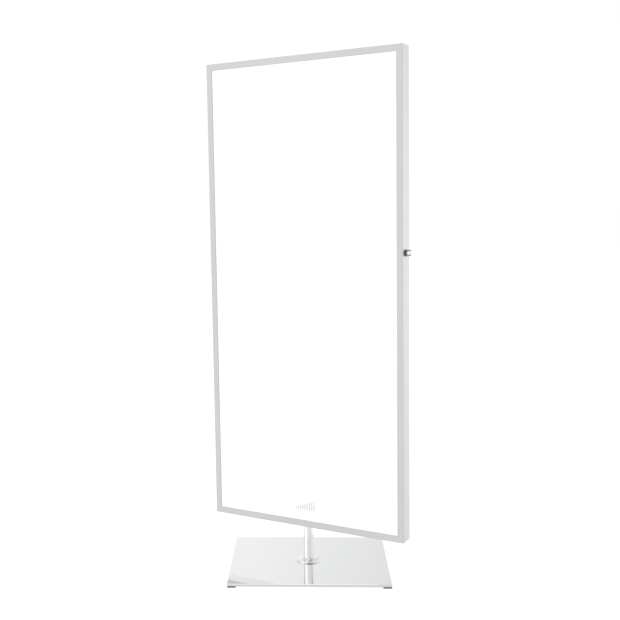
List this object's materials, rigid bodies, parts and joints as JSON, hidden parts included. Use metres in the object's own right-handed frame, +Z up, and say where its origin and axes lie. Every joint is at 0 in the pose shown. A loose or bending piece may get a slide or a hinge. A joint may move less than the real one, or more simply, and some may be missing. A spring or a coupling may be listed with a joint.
{
  "type": "customer pole display",
  "caption": "Free-standing customer display: slim framed opal light panel that swivels on a short chromed pole over a mirror-polished base plate, with a dimmer knob on one side.",
  "frame": {"origin": "on the pole's axis, on the floor under the middle of the base plate", "axes": "+Z up along the pole; +X to the right along the base plate's long side, seen from the front; -Y towards the front of the base"},
  "size_m": [0.6287, 0.42, 1.608],
  "materials": {
    "polished_steel": "mirror polished",
    "chrome": "polished",
    "knob_chrome": "polished",
    "rubber": "matte",
    "steel": "zinc plated",
    "bearing_polymer": "matte",
    "frame_silver": "satin silver",
    "mill_aluminium": "mill finish",
    "bronze": "satin",
    "opal_acrylic": "satin opal",
    "clear_acrylic": "clear",
    "white_film": "matte",
    "led_board": "white solder mask",
    "white_plastic": "matte",
    "black_plastic": "satin",
    "black_cable": "matte",
    "cover_white": "satin, fine texture"
  },
  "bodies": {
    "stand": {"base_plate": "polished_steel", "foot_pad_front_left": "rubber", "foot_pad_front_right": "rubber", "foot_pad_back_left": "rubber", "foot_pad_back_right": "rubber", "pole_tube": "chrome", "foot_plug": "steel", "base_bolt": "steel", "pole_dowel": "steel", "base_rosette": "chrome", "top_plug": "chrome", "spindle": "steel", "spindle_pin": "steel", "stop_pin": "steel", "lower_thrust_washer": "bearing_polymer", "upper_thrust_washer": "bearing_polymer", "disc_spring": "steel", "retaining_collar": "steel", "collar_screw": "steel"},
    "case": {"left_rail": "frame_silver", "right_rail": "frame_silver", "top_rail": "frame_silver", "bottom_rail": "frame_silver", "corner_bracket_bottom_left": "steel", "corner_bracket_bottom_right": "steel", "corner_bracket_top_left": "steel", "corner_bracket_top_right": "steel", "corner_screws": "steel", "bearing_cross_member": "mill_aluminium", "upper_cross_member": "mill_aluminium", "cross_member_screws": "steel", "lower_bearing_housing": "mill_aluminium", "housing_screws": "steel", "lower_bush": "bronze", "upper_bearing_block": "mill_aluminium", "bearing_block_screws": "steel", "upper_bush": "bronze", "diffuser": "opal_acrylic", "light_guide": "clear_acrylic", "reflector": "white_film", "backing_sheet": "mill_aluminium", "led_bar_left": "led_board", "led_bar_right": "led_board", "led_driver": "white_plastic", "driver_screws": "steel", "dimmer_body": "black_plastic", "dimmer_nut": "steel", "knob_bezel": "black_plastic", "power_inlet": "black_plastic", "inlet_contacts": "bronze", "inlet_screws": "steel", "inlet_lead": "black_cable", "supply_lead": "black_cable", "led_lead": "white_plastic", "cable_clips": "white_plastic", "back_cover": "cover_white", "back_cover_screws": "steel"},
    "dimmer_knob": {"knob": "knob_chrome", "dimmer_shaft": "steel", "knob_grub_screw": "steel"}
  },
  "joints": [
    {"name": "case_swivel", "type": "hinge", "parent": "stand", "child": "case", "pos_m": [0, 0, 0.128], "axis": [0, 0, 1], "range_deg": [-137.6, 192.4]},
    {"name": "dimmer_turn", "type": "hinge", "parent": "case", "child": "dimmer_knob", "pos_m": [0.29877, -0.15374, 1.006], "axis": [0.8878, -0.4602, 0], "range_deg": [-150, 150]}
  ]
}
